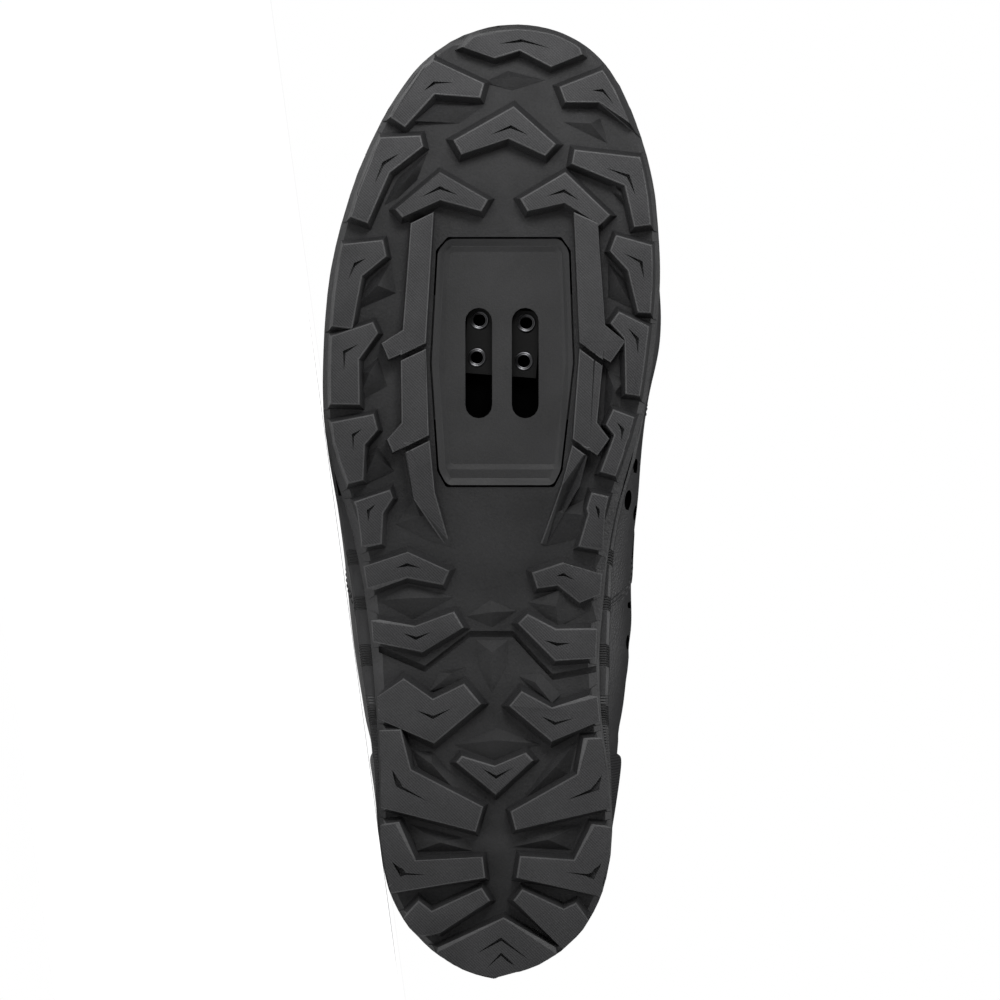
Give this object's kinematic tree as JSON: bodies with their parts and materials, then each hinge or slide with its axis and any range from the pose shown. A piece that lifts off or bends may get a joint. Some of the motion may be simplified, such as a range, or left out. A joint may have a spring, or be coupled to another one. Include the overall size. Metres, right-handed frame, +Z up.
{
  "type": "cycling shoe",
  "caption": "Low off-road cycling shoe for the right foot, lying on its outer side: lugged sole with a cleat window, hollow upper, tongue and straps.",
  "frame": {"origin": "middle of the shoe's footprint on the floor, as it lies on its outer side", "axes": "+X towards the heel, +Y away from the tread towards the opening, +Z up, which is the shoe's arch side"},
  "size_m": [0.285, 0.1138, 0.1076],
  "materials": {
    "outsole": "charcoal black moulded rubber, fine hatching on the lug faces",
    "midsole": "black moulded shell, satin",
    "cleat_plate": "black moulded nylon, smooth",
    "cleat_nut": "plain steel",
    "insole": "black foot bed cloth",
    "upper": "black synthetic leather, smooth, satin",
    "toe_cap": "black rubber, matt",
    "heel_counter": "black moulded counter, finely ribbed",
    "tongue": "black padded mesh",
    "strap": "black coated webbing",
    "heel_tab": "black webbing"
  },
  "bodies": {
    "root": {"outsole": "outsole", "midsole": "midsole", "cleat_plate": "cleat_plate", "cleat_nut": "cleat_nut", "insole": "insole", "upper": "upper", "toe_cap": "toe_cap", "heel_counter": "heel_counter", "tongue": "tongue", "strap_front": "strap", "strap_middle": "strap", "strap_instep": "strap", "heel_tab": "heel_tab"}
  },
  "joints": []
}
